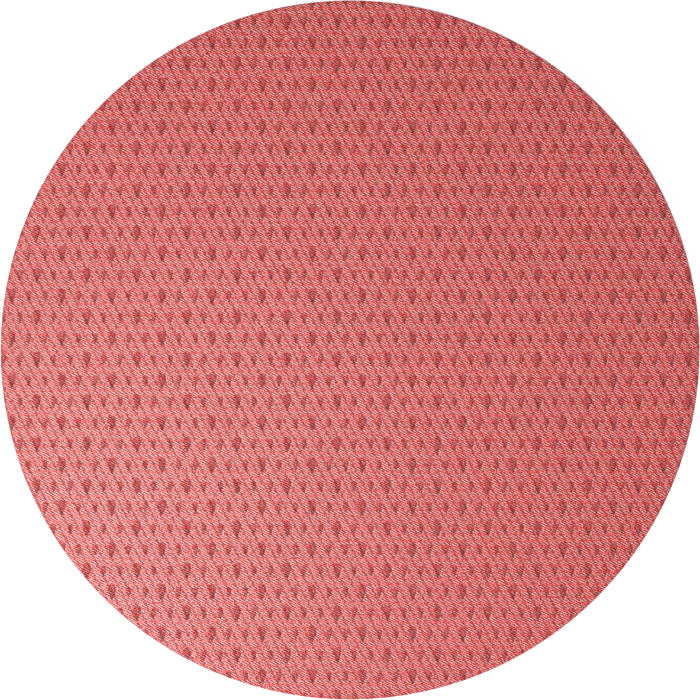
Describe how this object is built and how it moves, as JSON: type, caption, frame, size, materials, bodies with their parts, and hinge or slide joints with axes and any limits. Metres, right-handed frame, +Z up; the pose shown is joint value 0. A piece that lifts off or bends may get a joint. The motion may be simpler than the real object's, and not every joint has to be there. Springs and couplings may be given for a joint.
{
  "type": "paddle case",
  "caption": "Round zip-around hard case for table tennis paddles: coral twill faces pressed with teardrops, fabric hinge, and a foam tray inside.",
  "frame": {"origin": "centre of the flat back face that the case lies on", "axes": "+Z up through the front face, +Y towards the end that opens, fabric hinge at -Y"},
  "size_m": [0.3028, 0.3159, 0.064],
  "materials": {
    "coral_twill": "matte diagonal twill",
    "shell_foam": "closed-cell foam",
    "insert_foam": "die-cut foam",
    "board": "plain sheet",
    "lining": "brushed tricot",
    "webbing": "woven tape",
    "coil": "nylon monofilament",
    "zinc": "gunmetal plated casting",
    "grip_rubber": "moulded, matte",
    "elastic": "ribbed elastic",
    "mesh": "open knitted mesh"
  },
  "bodies": {
    "base": {"back_panel": "coral_twill", "back_gusset": "coral_twill", "back_shell": "shell_foam", "back_stiffener": "board", "back_lining": "lining", "back_binding": "webbing", "zipper_tape_lower": "webbing", "zipper_coil_lower": "coil", "zipper_stops_lower": "zinc", "hinge_spine": "webbing", "hinge_lining": "lining", "foam_insert": "insert_foam", "handle_strap": "elastic", "grab_tab": "webbing"},
    "lid": {"front_panel": "coral_twill", "front_gusset": "coral_twill", "front_shell": "shell_foam", "front_stiffener": "board", "front_lining": "lining", "front_binding": "webbing", "zipper_tape_upper": "webbing", "zipper_coil_upper": "coil", "zipper_stops_upper": "zinc", "mesh_pocket": "mesh", "pocket_edging": "elastic"},
    "slider_left_body": {"slider_left": "zinc"},
    "slider_right_body": {"slider_right": "zinc"},
    "pull_left_body": {"pull_left_link": "zinc", "pull_left_grip": "grip_rubber"},
    "pull_right_body": {"pull_right_link": "zinc", "pull_right_grip": "grip_rubber"}
  },
  "joints": [
    {"name": "lid_hinge", "type": "hinge", "parent": "base", "child": "lid", "pos_m": [0, -0.1515, 0.032], "axis": [1, 0, 0], "range_deg": [0, 180], "deforming": ["hinge_spine", "hinge_lining"]},
    {"name": "slider_left_travel", "type": "hinge", "parent": "base", "child": "slider_left_body", "pos_m": [0, 0, 0.032], "axis": [0, 0, 1], "range_deg": [0, 155.5]},
    {"name": "slider_right_travel", "type": "hinge", "parent": "base", "child": "slider_right_body", "pos_m": [0, 0, 0.032], "axis": [0, 0, -1], "range_deg": [0, 155.5]},
    {"name": "pull_left_swing", "type": "hinge", "parent": "slider_left_body", "child": "pull_left_body", "pos_m": [-0.00677, 0.15515, 0.032], "axis": [0, 0, -1], "range_deg": [0, 95]},
    {"name": "pull_right_swing", "type": "hinge", "parent": "slider_right_body", "child": "pull_right_body", "pos_m": [0.00677, 0.15515, 0.032], "axis": [0, 0, 1], "range_deg": [0, 95]}
  ]
}
